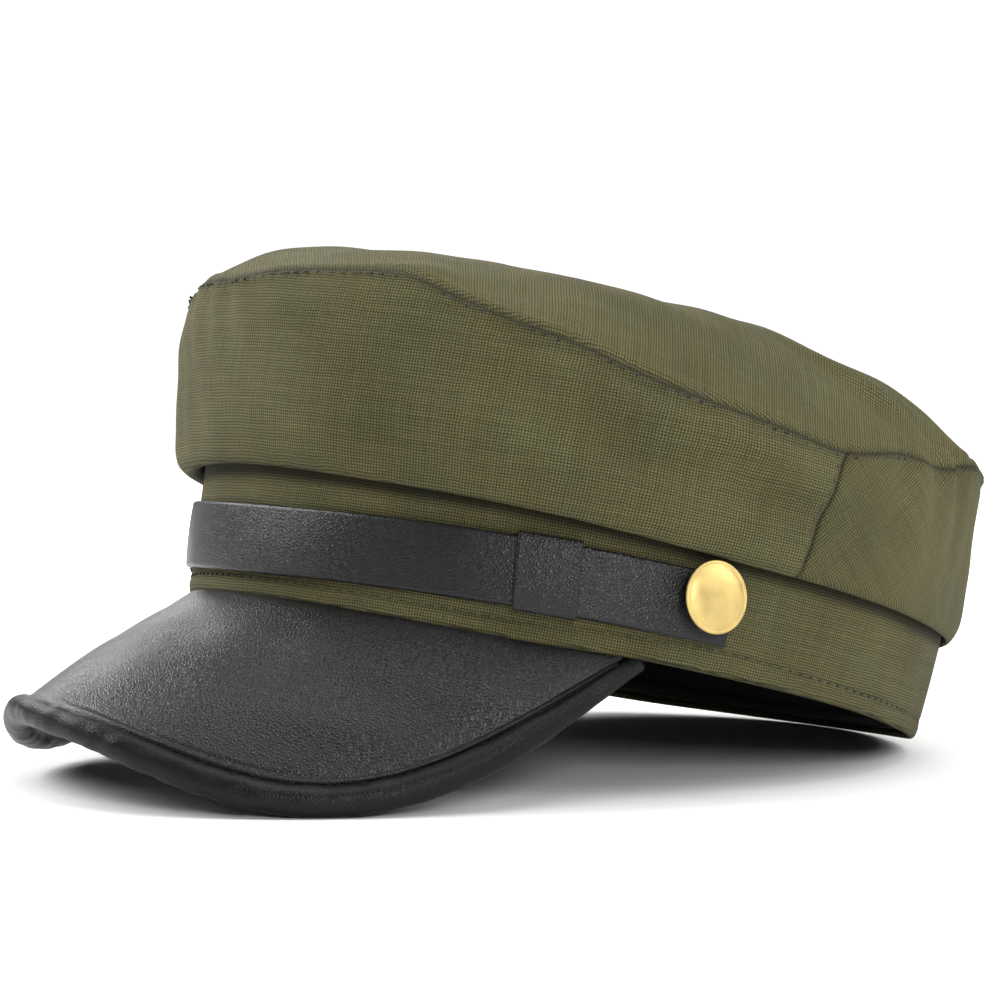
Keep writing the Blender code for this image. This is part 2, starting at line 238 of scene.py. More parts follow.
def wall_relief(phi, h, height):
    """Folds of the crown wall, in mm outward.

    A sum of: ripples; the gathers, fading down from the seam; slanting sine waves where the cloth
    drags at the sides, in front and by the side seam; single soft humps and hollows under the
    crown seam; a groove with a puffed edge along each side seam; and the stitched hem on top."""
    d = degrees(phi)
    s = arc_length(np.radians(d))
    down = height - h
    p = ring(phi, h)
    out = 0.8 * ripple(p * (0.7, 0.7, 1.0), 42, 3) + 0.25 * ripple(p, 17, 4)
    out = out + gathers(phi) * np.exp(-np.clip(down, 0, 99) / 13.0)
    drag = np.sin(TAU * (h + 0.16 * s) / 21.0 + 0.8) * bump(h, 24, 13)
    out = out + 1.5 * drag * (bump(d, 60, 17) + 0.8 * bump(d, -66, 20))
    pull = np.sin(TAU * (s + 0.55 * h) / 13.0 + 0.6) * bump(down, 6, 13)
    out = out + 0.55 * pull * (bump(d, -14, 14) + 0.7 * bump(d, 40, 12))
    out = out + 0.5 * np.sin(TAU * (h - 0.22 * s) / 17.0) * bump(d, 84, 10) * bump(h, 22, 9)
    out = out + 2.0 * bump(down, 8.0, 5.0) * bump(d, 78, 9) - 1.3 * bump(down, 17, 5) * bump(d, 80, 9)
    out = out - 0.9 * bump(down, 6, 7) * bump(d, -10, 8) + 0.8 * bump(down, 5, 6) * bump(d, 24, 6)
    out = out + 0.7 * bump(d - 0.6 * down, 2, 3.5) * bump(down, 10, 10)
    away = (np.abs(d) - side_seam_angle(h)) * WALL_MM
    out = out - 0.55 * bump(away, 0, 0.9) + 0.22 * bump(away, -2.6, 1.3)
    out = out + 0.14 * np.sin(TAU * h / STITCH) * bump(away, -1.6, 1.4)
    hem = 0.42 * bump(down, 1.3, 1.0) * (1 + 0.5 * np.cos(TAU * s / STITCH))
    return out + hem - 0.35 * bump(down, 3.0, 0.8) - 0.5 * bump(down, 0.0, 0.5)


def crown_wall(phi, t, relief=True):
    """Profile t from 0 to 1: half round from a lip behind the fold, then up the bulging wall."""
    base = fold_z(phi)
    height = seam_z(phi) - base
    low = 3.0
    outer = wall_offset(phi, low)
    a = math.pi * (1 + np.minimum(t / HOOK, 1.0))
    k = np.clip((t - HOOK) / (1 - HOOK), 0, 1)
    h = np.where(t < HOOK, low + low * np.sin(a), low + (height - low) * k)
    curl = (0.55 + outer) / 2 + (outer - 0.55) / 2 * np.cos(a)
    offset = np.where(t < HOOK, curl, wall_offset(phi, h))
    if relief:
        fade = step(t, 0.5 * HOOK, HOOK * 1.3)
        offset = offset + fade * wall_relief(phi, h, height)
    return offset, h, base


def dome(phi, r):
    """Crown top: the seam's outline drawn in by r, rising as 1 - r**p; p is steeper on the flanks.

    Swells, a sag, pleats fading inward from the seam, a crest, a crease with its dent and soft
    ripples are added to the rise. They are held to nothing at the seam, where a small lip stands."""
    d = degrees(phi)
    base = fold_z(phi)
    z = seam_z(phi) + 0.1
    offset = wall_offset(phi, z - base) - 0.35
    edge = oval(phi, offset, z)
    pleat = oval(phi, offset + wall_relief(phi, z - base, z - base) + 0.45, z) - edge
    p = 3.6 + 2.8 * step(-d, 10, 40) * (1 - step(-d, 110, 150)) + 1.0 * bump(d, 125, 22)
    x, y = (edge[..., k] * r + pleat[..., k] * r ** 16 for k in (0, 1))
    rise = (DOME_TOP - DOME_TILT * y - edge[..., 2]) * (1 - r ** p)
    swell = 2.4 * bump(x, -38, 22) * bump(y, -84, 26) + 2.2 * bump(x, 52, 30) * bump(y, 2, 24)
    sag = 1.4 * bump(x, 32, 18) * bump(y, -58, 17) + 2.2 * bump(x, 70, 18) * bump(y, 50, 20)
    rise = rise + (swell - sag) * (1 - r ** 12)
    back = (1 - r) * CROWN_REACH
    pull = np.exp(-back / 16.0)
    shift = gathers(phi + 0.0016 * back) * pull * 1.1
    crest = 1.3 * bump(d - 23 - 0.5 * back, 0, 4.0 + 0.1 * back) * np.exp(-back / 20.0)
    crease = 2.3 * bump(d - 112 + 0.55 * back, 0, 1.6 + 0.05 * back) * bump(back, 10, 22)
    dent = -1.8 * bump(d - 106 + 0.5 * back, 0, 3.0) * bump(back, 10, 18)
    folds = shift + crest + crease + dent - 0.8 * bump(d, 5, 16) * bump(back, 7, 7)
    ground = np.stack([x, y, 0 * x], axis=-1)
    soft = (0.7 * ripple(ground, 60, 8) + 0.3 * ripple(ground, 24, 9)) * step(back, 0, 14)
    held = 1 - np.exp(-(back / 2.2) ** 2)
    s = arc_length(phi)
    lip = 0.5 * bump(back, 1.7, 1.1) - 0.5 * bump(back, 0, 0.6)
    lip = lip + 0.16 * np.cos(TAU * s / STITCH) * bump(back, 1.4, 1.1)
    p = np.stack([x, y, edge[..., 2] + rise + folds * held + soft + lip], axis=-1)
    p[0] = p[0].mean(axis=0)
    return p


def visor_edge(u):
    """Middle of the rolled edge: x in odd powers of u, y and z in even ones; the far side sits up."""
    x = sum(c * u ** (2 * k + 1) for k, c in enumerate(EDGE_X))
    y = sum(c * u ** (2 * k) for k, c in enumerate(EDGE_Y))
    z = sum(c * u ** (2 * k) for k, c in enumerate(EDGE_Z))
    far = step(-u, -0.08, 0.3) * (1 - step(-u, 0.6, 1.0))
    tuck = (np.clip(np.abs(u) - 0.7, 0.0, 0.33) / 0.3) ** 2
    return np.stack([x + 2.6 * far - 0.9 * tuck * np.sign(u), y + 0.5 * tuck,
                     z + 4.5 * far - 2.0 * tuck], axis=-1)


def visor_frame(u):
    """Middle of the rolled edge, inward direction and upward normal, from the edge's tangent."""
    p = visor_edge(u)
    t = unit(visor_edge(u + 0.002) - visor_edge(u - 0.002))
    d = oval(np.radians(0.9 * u * VISOR_END), 0.0, -3.1 + 0 * u) - p
    inward = unit(d - t * (d * t).sum(axis=-1, keepdims=True))
    up = np.cross(inward, t)
    up = up * np.sign(up[..., 2:3])
    return p, inward, up


# ---- meshes from grids ----
def lay(name, grid, uv, material, wrap=False, thick=0.0, ends=False, reference=(0, 0, 45), painted_shade=None):
    """Quads over a (rows, columns, 3) grid in the cap frame; uv is in mm of cloth.

    wrap joins the last column to the first, ends fills the first and last row's rims, and thick
    adds a wall on the side that faces the reference point. The last argument, 0 to 1, is the
    painted shade: how far each corner's cloth is darkened."""
    rows, cols = grid.shape[:2]
    span = cols if wrap else cols - 1
    i, j = np.meshgrid(np.arange(rows - 1), np.arange(span), indexing="ij")
    corner_i = np.stack([i, i, i + 1, i + 1], axis=-1)
    corner_j = np.stack([j, j + 1, j + 1, j], axis=-1)
    faces = (corner_i * cols + corner_j % cols).reshape(-1, 4)
    pts = grid.reshape(-1, 3)
    quad = pts[faces]
    normal = np.cross(quad[:, 2] - quad[:, 0], quad[:, 3] - quad[:, 1])
    away = quad.mean(axis=1) - np.array(reference)
    corner_uv = uv[corner_i, corner_j].reshape(-1, 4, 2)
    if (normal * away).sum() < 0:
        faces, corner_uv = faces[:, ::-1], corner_uv[:, ::-1]
    mesh = bpy.data.meshes.new(name)
    mesh.from_pydata(world(pts).tolist(), [], faces.tolist())
    layer = mesh.uv_layers.new(name="cloth")
    layer.data.foreach_set("uv", corner_uv.astype(np.float32).ravel())
    # painted shade: kept as a point attribute that the canvas material uses to darken its colour
    if painted_shade is not None:
        dark = mesh.attributes.new("painted_shade", "FLOAT", "POINT")
        dark.data.foreach_set("value", (painted_shade + 0 * grid[..., 0]).astype(np.float32).ravel())
    obj = bpy.data.objects.new(name, mesh)
    bpy.context.scene.collection.objects.link(obj)
    if ends or wrap:
        bm = bmesh.new()
        bm.from_mesh(mesh)
        bmesh.ops.remove_doubles(bm, verts=bm.verts, dist=1e-6)
        if ends:
            bmesh.ops.holes_fill(bm, edges=[e for e in bm.edges if e.is_boundary], sides=0)
            bmesh.ops.recalc_face_normals(bm, faces=bm.faces)
        bm.to_mesh(mesh)
        bm.free()
    mesh.shade_smooth()
    mesh.materials.append(material)
    if thick:
        solid = obj.modifiers.new("Thickness", "SOLIDIFY")
        solid.thickness = thick * 0.001
        solid.offset = -1.0
    return obj


def grid_uv(u, v, turn=0.0):
    """Cloth coordinates from two arrays of millimetres, turned by an angle in degrees."""
    a = math.radians(turn)
    return np.stack([u * math.cos(a) - v * math.sin(a), u * math.sin(a) + v * math.cos(a)], axis=-1)


def put(piece, body, slot, *nodes):
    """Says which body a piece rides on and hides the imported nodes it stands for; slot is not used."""
    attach(piece, body)
    if nodes:
        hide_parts(*nodes)


def copies(name, shape, faces, places, sides, ups, fronts, material):
    """Many copies of one small shape: corner = place + x side + y up + z front, joined in one mesh."""
    pts = (places[:, None] + shape[None, :, 0:1] * sides[:, None] + shape[None, :, 1:2] * ups[:, None]
           + shape[None, :, 2:3] * fronts[:, None])
    index = (np.arange(len(places))[:, None, None] * len(shape) + faces[None]).reshape(-1, 4)
    mesh = bpy.data.meshes.new(name)
    mesh.from_pydata(world(pts.reshape(-1, 3)).tolist(), [], index.tolist())
    mesh.shade_smooth()
    mesh.materials.append(material)
    obj = bpy.data.objects.new(name, mesh)
    bpy.context.scene.collection.objects.link(obj)
    return obj


def bead(length, radius, rings=5):
    """A short thread: a tube along x, its radius a power of a sine; six sides, closed at both tips."""
    sides = 6
    a = np.linspace(0.06, math.pi - 0.06, rings)
    b = np.arange(sides) / sides * TAU
    r = radius * np.sin(a) ** 0.6
    x = -length / 2 * np.cos(a)
    pts = np.stack([np.repeat(x, sides), np.outer(r, np.cos(b)).ravel(),
                    np.outer(r, np.sin(b)).ravel()], axis=-1)
    i, j = np.meshgrid(np.arange(rings - 1), np.arange(sides), indexing="ij")
    k = (j + 1) % sides
    faces = np.stack([i * sides + j, (i + 1) * sides + j, (i + 1) * sides + k, i * sides + k], axis=-1)
    tips = [[0, 1, 2, 3], [0, 3, 4, 5]]
    last = (rings - 1) * sides
    tips += [[last + 3, last + 2, last + 1, last], [last + 5, last + 4, last + 3, last]]
    return pts, np.vstack([faces.reshape(-1, 4), np.array(tips)])


def even_points(path, pitch):
    """Points every pitch mm along a dense path, with the path's direction there."""
    seg = np.linalg.norm(np.diff(path, axis=0), axis=1)
    s = np.concatenate([[0], np.cumsum(seg)])
    count = max(2, int(s[-1] / pitch))
    at = (np.arange(count) + 0.5) * s[-1] / count
    point = np.stack([np.interp(at, s, path[:, k]) for k in range(3)], axis=-1)
    ahead = np.stack([np.interp(at + 0.3, s, path[:, k]) for k in range(3)], axis=-1)
    behind = np.stack([np.interp(at - 0.3, s, path[:, k]) for k in range(3)], axis=-1)
    return point, unit(ahead - behind)


def sew(name, path, normal_at, material, length=2.2, radius=0.27, pitch=STITCH, sink=0.0):
    """A row of stitches along a path lying on cloth; normal_at(points) is the cloth's normal."""
    place, along = even_points(path, pitch)
    front = unit(normal_at(place))
    side = unit(np.cross(front, along))
    rng = np.random.default_rng(len(name))
    tilt = rng.normal(0, 0.05, len(place))[:, None]
    along = unit(along + side * tilt)
    pts, faces = bead(length, radius)
    return copies(name, pts, faces, place - front * sink, along, np.cross(front, along), front, material)


def needle_holes(name, row, length, radius, depth):
    """Dark specks of painted shade for the needle holes, midway between the stitches of a row, sunk by
    depth.
    """
    place, along = even_points(row, STITCH)
    front = unit(flank_normal(place))
    dots, faces = bead(length, radius, 4)
    put(copies(name, dots, faces, place + along * STITCH / 2 - front * depth, along,
               np.cross(front, along), front, NEEDLE_HOLE_SHADE), "cap", "canvas")


# ---- materials ----
def new_material(name):
    """A node material, its node tree and its shader."""
    mat = bpy.data.materials.new(name)
    mat.use_nodes = True
    return mat, mat.node_tree, mat.node_tree.nodes["Principled BSDF"]


def node(tree, kind, inputs=(), output=0, **settings):
    """Output of a new shader node with these properties and inputs; an input may be an output."""
    made = tree.nodes.new("ShaderNode" + kind)
    for key, value in settings.items():
        setattr(made, key, value)
    for key, value in dict(inputs).items():
        if isinstance(value, bpy.types.NodeSocket):
            tree.links.new(value, made.inputs[key])
        else:
            made.inputs[key].default_value = value
    return made.outputs[output]


def sums(tree, operation, a, b=0.0):
    """One arithmetic step on a and b."""
    return node(tree, "Math", {0: a, 1: b}, operation=operation)


def blend(tree, factor, a, b, kind="MIX"):
    """Colour a mixed with, or multiplied by, colour b."""
    mix = tree.nodes.new("ShaderNodeMix")
    mix.data_type = "RGBA"
    mix.blend_type = kind
    for key, value in ((0, factor), (6, a), (7, b)):
        if isinstance(value, bpy.types.NodeSocket):
            tree.links.new(value, mix.inputs[key])
        else:
            mix.inputs[key].default_value = value
    return mix.outputs[2]


def ramp(tree, value, low, high, to_low=0.0, to_high=1.0):
    """Straight line from to_low at low to to_high at high, level beyond both."""
    return node(tree, "MapRange", {0: value, 1: low, 2: high, 3: to_low, 4: to_high})


def grey(v):
    """A grey of strength v."""
    return (v, v, v, 1.0)


CANVAS_LIGHT = (0.132, 0.119, 0.054, 1.0)
CANVAS_DARK = (0.018, 0.019, 0.008, 1.0)
CANVAS_BROWN = (1.05, 0.99, 0.92, 1.0)
CANVAS_GREEN = (0.95, 1.01, 1.0, 1.0)


def canvas(name, turn):
    """Woven canvas on the cloth's own coordinates, which wander a little.

    Thread bumps WEAVE apart are the product of two rectified sines to the power 0.85. The colour
    runs from dark between threads to light on them, times a mottle, a cloud, streaks along both
    threads, fluff and the piece's painted shade."""
    mat, tree, shader = new_material(name)
    uv = node(tree, "UVMap", uv_map="cloth")
    flat = node(tree, "Mapping", {0: uv, 2: (0.0, 0.0, math.radians(turn))})
    wander = node(tree, "TexNoise", {0: flat, 2: 0.12}, output=1)
    nudge = node(tree, "VectorMath", {0: wander, 1: (0.9, 0.9, 0.0)}, operation="MULTIPLY")
    flat = node(tree, "VectorMath", {0: flat, 1: nudge}, operation="ADD")
    waves = []
    for axis in (0, 1):
        turns = sums(tree, "MULTIPLY", node(tree, "SeparateXYZ", {0: flat}, axis), math.pi / WEAVE)
        waves.append(sums(tree, "ABSOLUTE", sums(tree, "SINE", turns)))
    dots = sums(tree, "POWER", sums(tree, "MULTIPLY", waves[0], waves[1]), 0.85)
    streaks = []
    for stretch in ((0.035, 1.1, 0.0), (0.9, 0.03, 0.0)):
        way = node(tree, "VectorMath", {0: flat, 1: stretch}, operation="MULTIPLY")
        streaks.append(node(tree, "TexNoise", {0: way, 2: 1.0, 3: 3.0, 4: 0.6}))
    mottle = node(tree, "TexNoise", {0: flat, 2: 0.055, 3: 4.0, 4: 0.6})
    fluff = node(tree, "TexNoise", {0: flat, 2: 1.6, 3: 2.0, 4: 0.6})
    colour = blend(tree, dots, CANVAS_DARK, CANVAS_LIGHT)
    hue = blend(tree, ramp(tree, mottle, 0.36, 0.64), CANVAS_GREEN, CANVAS_BROWN)
    colour = blend(tree, 1.0, colour, hue, "MULTIPLY")
    cloudy = node(tree, "TexNoise", {0: flat, 2: 0.03, 3: 2.0, 4: 0.5})
    colour = blend(tree, 1.0, colour, ramp(tree, cloudy, 0.35, 0.65, 0.88, 1.12), "MULTIPLY")
    for streak, spread in zip(streaks, (0.15, 0.10)):
        shade = ramp(tree, streak, 0.3, 0.7, 1.0 - spread, 1.0 + spread)
        colour = blend(tree, 1.0, colour, shade, "MULTIPLY")
    colour = blend(tree, 1.0, colour, ramp(tree, fluff, 0.3, 0.7, 0.86, 1.14), "MULTIPLY")
    # painted shade: the colour is darkened by up to 84 % where the piece's painted-shade attribute is 1
    painted_shade = node(tree, "Attribute", output="Fac", attribute_name="painted_shade")
    colour = blend(tree, 1.0, colour, ramp(tree, painted_shade, 0.0, 1.0, 1.0, 0.16), "MULTIPLY")
    tree.links.new(colour, shader.inputs["Base Color"])
    height = sums(tree, "ADD", dots, sums(tree, "MULTIPLY", fluff, 0.35))
    relief = node(tree, "Bump", {"Strength": 0.55, "Distance": 0.00022, "Height": height})
    tree.links.new(relief, shader.inputs["Normal"])
    shader.inputs["Roughness"].default_value = 0.88
    shader.inputs["Specular IOR Level"].default_value = 0.18
    shader.inputs["Sheen Weight"].default_value = 0.04
    shader.inputs["Sheen Roughness"].default_value = 0.5
    shader.inputs["Sheen Tint"].default_value = (0.75, 0.74, 0.55, 1.0)
    return mat


HIDE_DARK = grey(0.003)
HIDE_LIGHT = (0.00625, 0.00635, 0.0068, 1.0)


def leather(name, grain, depth, rough, gloss_level=0.36):
    """Black leather-look: rounded pebbles about 1/grain metres across with fine creases between."""
    mat, tree, shader = new_material(name)
    place = node(tree, "TexCoord", output="Object")
    bend = node(tree, "TexNoise", {0: place, 2: grain * 0.45, 3: 2.0})
    bend = node(tree, "VectorMath", {0: bend, 1: (0.0005, 0.0005, 0.0005)}, operation="MULTIPLY")
    moved = node(tree, "VectorMath", {0: place, 1: bend}, operation="ADD")
    cells = node(tree, "TexVoronoi", {0: moved, 2: grain}, feature="DISTANCE_TO_EDGE")
    pebble = ramp(tree, cells, 0.0, 0.42)
    fine = node(tree, "TexNoise", {0: place, 2: grain * 2.4, 3: 3.0})
    height = sums(tree, "ADD", pebble, sums(tree, "MULTIPLY", fine, 0.3))
    relief = node(tree, "Bump", {"Strength": 0.6, "Distance": depth, "Height": height})
    tree.links.new(relief, shader.inputs["Normal"])
    broad = node(tree, "TexNoise", {0: place, 2: 45.0, 3: 3.0})
    gloss = sums(tree, "ADD", ramp(tree, pebble, 0.0, 1.0, 0.10, -0.02),
                 ramp(tree, broad, 0.3, 0.7, rough - 0.05, rough + 0.05))
    tree.links.new(gloss, shader.inputs["Roughness"])
    tree.links.new(blend(tree, pebble, HIDE_DARK, HIDE_LIGHT), shader.inputs["Base Color"])
    shader.inputs["Specular IOR Level"].default_value = gloss_level
    return mat


def plain_cloth(name, colour, scale=700.0):
    """Plain cloth, thread or moulded strip: fine noise in tone and height, 1/scale metres across."""
    mat, tree, shader = new_material(name)
    place = node(tree, "TexCoord", output="Object")
    fine = node(tree, "TexNoise", {0: place, 2: scale, 3: 2.0})
    low, high = tuple(0.75 * c for c in colour) + (1.0,), tuple(1.25 * c for c in colour) + (1.0,)
    tree.links.new(blend(tree, fine, low, high), shader.inputs["Base Color"])
    relief = node(tree, "Bump", {"Strength": 0.4, "Distance": 0.0001, "Height": fine})
    tree.links.new(relief, shader.inputs["Normal"])
    shader.inputs["Roughness"].default_value = 0.75
    return mat


def metal(name, colour, rough):
    """Satin metal with tiny pits and faint clouding."""
    mat, tree, shader = new_material(name)
    place = node(tree, "TexCoord", output="Object")
    cloud = node(tree, "TexNoise", {0: place, 2: 260.0, 3: 4.0})
    pits = node(tree, "TexNoise", {0: place, 2: 1500.0, 3: 2.0})
    dull = tuple(0.8 * c for c in colour) + (1.0,)
    tone = blend(tree, ramp(tree, cloud, 0.3, 0.7), dull, colour + (1.0,))
    tree.links.new(tone, shader.inputs["Base Color"])
    tree.links.new(ramp(tree, cloud, 0.3, 0.7, rough - 0.06, rough + 0.08), shader.inputs["Roughness"])
    relief = node(tree, "Bump", {"Strength": 0.25, "Distance": 0.00006, "Height": pits})
    tree.links.new(relief, shader.inputs["Normal"])
    shader.inputs["Metallic"].default_value = 1.0
    return mat


CANVAS_SQUARE = canvas("olive_canvas_square", 0.0)
CANVAS_BIAS = canvas("olive_canvas_bias", 41.0)
VISOR_HIDE = leather("visor_hide", 1300.0, 0.00014, 0.33)
STRAP_HIDE = leather("strap_hide", 1400.0, 0.00012, 0.31)
ROLL_HIDE = leather("rolled_edge_hide", 1200.0, 0.00010, 0.36, gloss_level=0.17)
SWEAT_HIDE = leather("sweatband_hide", 1400.0, 0.00006, 0.5)
LINING = plain_cloth("black_lining", (0.012, 0.012, 0.013))
OLIVE_THREAD = plain_cloth("olive_thread", (0.060, 0.058, 0.030), 2500.0)
SEAM_THREAD = plain_cloth("dark_olive_thread", (0.030, 0.029, 0.015), 2500.0)
# painted shade: near-black for the specks that stand in for the shade inside needle holes
NEEDLE_HOLE_SHADE = plain_cloth("needle_shadow", (0.008, 0.008, 0.005), 2500.0)
BLACK_THREAD = plain_cloth("black_thread", (0.010, 0.010, 0.011), 2500.0)
BRASS = metal("satin_brass", (0.68, 0.51, 0.20), 0.50)
STEEL = metal("plain_steel", (0.55, 0.55, 0.55), 0.35)
STIFF_CLOTH = plain_cloth("stiff_interlining", (0.55, 0.54, 0.50), 500.0)
STIFF_PLASTIC = plain_cloth("dark_plastic", (0.030, 0.030, 0.028), 200.0)


# ---- crown ----
def wall_piece(name, start, finish, cols, rows, material, stands_for):
    """One panel of crown_wall between the two side seams, one in front or one behind.

    The angles run evenly between the seams' own angles at each row's height. Painted shade darkens
    the crown seam, the side seams and the inside of the fold."""
    t = np.linspace(0, 1, rows)[:, None]
    k = np.linspace(0, 1, cols)[None, :]
    first_guess = np.radians(start + (finish - start) * k) + 0 * t
    seam = side_seam_angle(crown_wall(first_guess, t + 0 * k, relief=False)[1])
    first, last = (np.sign(start) * seam, np.sign(finish) * seam)
    if finish > 180:
        last = 360 - seam
    phi = np.radians(first + (last - first) * k)
    offset, h, base = crown_wall(phi, t + 0 * k)
    p = settle(oval(phi, offset, base + h), 3)
    uv = grid_uv(arc_length(phi), base + h)
    down = seam_z(phi) - base - h
    away = (np.abs(degrees(phi)) - side_seam_angle(h)) * WALL_MM
    # painted shade under the crown seam, beside the side seams and inside the turn of the fold
    painted_shade = 0.85 * bump(down, 0.2, 0.9) + 0.6 * bump(away, 0, 0.7)
    painted_shade = np.clip(painted_shade + 0.9 * (1 - step(t, 0.25 * HOOK, 0.62 * HOOK)), 0, 1)
    put(lay(name, p, uv, material, thick=CLOTH, painted_shade=painted_shade), "cap", "canvas", stands_for)


def top_piece():
    """The dome on rings that lie closer together near the seam, where the pleats are."""
    phi, wide = full_turn(400)
    r = np.sin(np.linspace(0.0, 1.0, 90) * math.pi / 2)[:, None]
    p = dome(phi, r)
    cloth = dome(wide, r)
    uv = grid_uv(cloth[..., 0], cloth[..., 1], 33.0)
    # painted shade in a thin ring along the crown seam
    painted_shade = 0.55 * bump((1 - r) * CROWN_REACH, 0, 0.6)
    piece = lay("crown_top_cloth", p, uv, CANVAS_SQUARE, wrap=True, thick=CLOTH, painted_shade=painted_shade)
    put(piece, "cap", "canvas", "crown_top_panel")


def crown_linings():
    """Side lining: 4 mm inside the wall, its foot behind the sweatband; top: 4 mm under the crown."""
    phi, wide = full_turn(200)
    t = np.linspace(0, 1, 24)[:, None]
    height = seam_z(phi) - fold_z(phi)
    foot = 27.5 - fold_z(phi)
    h = foot + (height - 2.0 - foot) * t
    ease = 0.6 * ripple(oval(phi, 0.0, h), 30, 21)
    clear = -3.95 + (wall_offset(phi, h) - 0.45 + ease) * step(h, 0.5, 7.0)
    side = oval(phi, clear, fold_z(phi) + h)
    piece = lay("side_lining_cloth", side, grid_uv(arc_length(wide) + 0 * t, 40 * t + 0 * wide),
                LINING, wrap=True, thick=0.4)
    put(piece, "cap", "lining", "lining_side")
    r = 0.97 * np.sin(np.linspace(0.0, 1.0, 30) * math.pi / 2)[:, None]
    top = dome(phi, r)
    top[..., 2] -= 4.8 + 0.8 * ripple(top, 45, 22)
    piece = lay("top_lining_cloth", top, grid_uv(0 * wide + 90 * r, 0 * r + wide), LINING,
                wrap=True, thick=0.4)
    put(piece, "cap", "lining", "lining_top")


def seam_path(down, phi):
    """A line on the crown wall, down mm below the seam."""
    base = fold_z(phi)
    height = seam_z(phi) - base
    h = height - down
    return oval(phi, wall_offset(phi, h) + wall_relief(phi, h, height), base + h)


def flank_normal(p):
    """Outward direction of the crown wall, level with the ground of the cap."""
    return np.stack([p[:, 0] / HALF_WIDTH ** 2, p[:, 1] / HALF_LENGTH ** 2, 0 * p[:, 2]], axis=-1)


def crown_stitching():
    """Rows of stitches: one under the crown seam all round, one beside each side seam.

    The crown row is sunk deeper round -70 and 124 degrees, so that no thread stands off the edge."""
    round_phi = np.linspace(-math.pi, math.pi, 2400)
    row = seam_path(1.3, round_phi)
    d = degrees(round_phi)[:, None]
    row = row - unit(flank_normal(row)) * (0.8 * bump(d, -70, 22) + 0.5 * bump(d, 124, 16))
    put(sew("crown_seam_stitches", row, flank_normal, SEAM_THREAD, 2.1, 0.27, sink=0.32),
        "cap", "canvas")
    needle_holes("crown_seam_holes", row, 1.1, 0.36, 0.42)
    for side, tag in ((1, "left"), (-1, "right")):
        h = np.linspace(1.5, 30.0, 300)
        phi = side * np.radians(side_seam_angle(h) - 0.9)
        base = fold_z(phi)
        height = seam_z(phi) - base
        h = np.minimum(h, height - 1.0)
        line = oval(phi, wall_offset(phi, h) + wall_relief(phi, h, height), base + h)
        put(sew("side_seam_stitches_" + tag, line, flank_normal, SEAM_THREAD, 2.1, 0.24, sink=0.12),
            "cap", "canvas")


# ---- band ----
def rim_low(phi):
    """Lowest line of the band's hem: it hangs a little lower in front and over each rear side."""
    d = np.abs(degrees(phi))
    return -1.4 * (1 - step(d, 42, 70)) - 1.8 * bump(d, 134, 24)


def stitch_height(phi):
    """The hem's stitching keeps its distance from the rim and strays up beside the buttons."""
    return STITCH_Z + rim_low(phi) + 1.2 * bump(np.abs(degrees(phi)), 77, 15)


def band_relief(phi, z):
    """Band face: a puffy hem, a groove along the stitching, slight waviness."""
    s = arc_length(np.radians(degrees(phi)))
    row = stitch_height(phi)
    p = ring(phi, z)
    dip = -0.32 * bump(z, row, 0.8) * (0.75 + 0.25 * np.cos(TAU * s / STITCH))
    return dip + 0.25 * bump(z, row - 2.1, 1.5) + 0.14 * ripple(p, 30, 31) * step(z, 0, 2)


def head_band():
    """Hem turned round the rim as a half round 1 mm deep, then up the leaning face."""
    phi, wide = full_turn(440)
    hem = np.linspace(0, 1, 12)[:, None]
    angle = math.pi * (1 + hem)
    curl_o, curl_z = -0.85 + 0.85 * np.cos(angle), 1.3 + 1.3 * np.sin(angle)
    face = np.linspace(0, 1, 34)[1:, None]

    def rows(a):
        """Offsets and heights of the hem's and the face's rows at the angles a."""
        top = fold_z(a) + 4.0
        low = rim_low(a)
        z = np.concatenate([curl_z + low, 1.3 + low + (top - 1.3 - low) * face])
        o = np.concatenate([curl_o + 0 * a, 0 * a + 0 * face])
        return o, z
    o, z = rows(phi)
    fade = np.concatenate([step(hem, 0.6, 1.0), 1 + 0 * face])
    p = oval(phi, o + fade * band_relief(phi, z), z)
    wide_o, wide_z = rows(wide)
    uv = grid_uv(arc_length(wide) + 0 * wide_z, wide_z - 2 * wide_o)
    # painted shade under the overhang of the fold, in the groove of the stitching and along the hem's
    # lower edge
    shade = 0.92 * step(z - fold_z(phi), -3.6, -0.6) + 0.45 * bump(z - stitch_height(phi), 0, 0.55)
    shade = shade + 0.5 * bump(z - rim_low(phi), 0.0, 0.7)
    piece = lay("band_cloth", p, uv, CANVAS_SQUARE, wrap=True, thick=0.35, painted_shade=np.clip(shade, 0, 1))
    put(piece, "cap", "canvas", "headband_cover")
    line = np.linspace(-math.pi, math.pi, 2400)
    height = stitch_height(line)
    row = oval(line, band_relief(line, height), height)
    put(sew("band_stitches", row, flank_normal, OLIVE_THREAD, 2.2, 0.22, sink=0.06), "cap", "canvas")
    needle_holes("band_needle_holes", row, 0.7, 0.33, 0.1)
    z = np.linspace(0.5, fold_z(math.pi) + 2, 60)
    join = oval(np.full(60, math.pi), 0.05 + 0 * z, z)
    put(sew("band_back_join", join, flank_normal, OLIVE_THREAD, 1.9, 0.2, sink=0.05), "cap", "canvas")


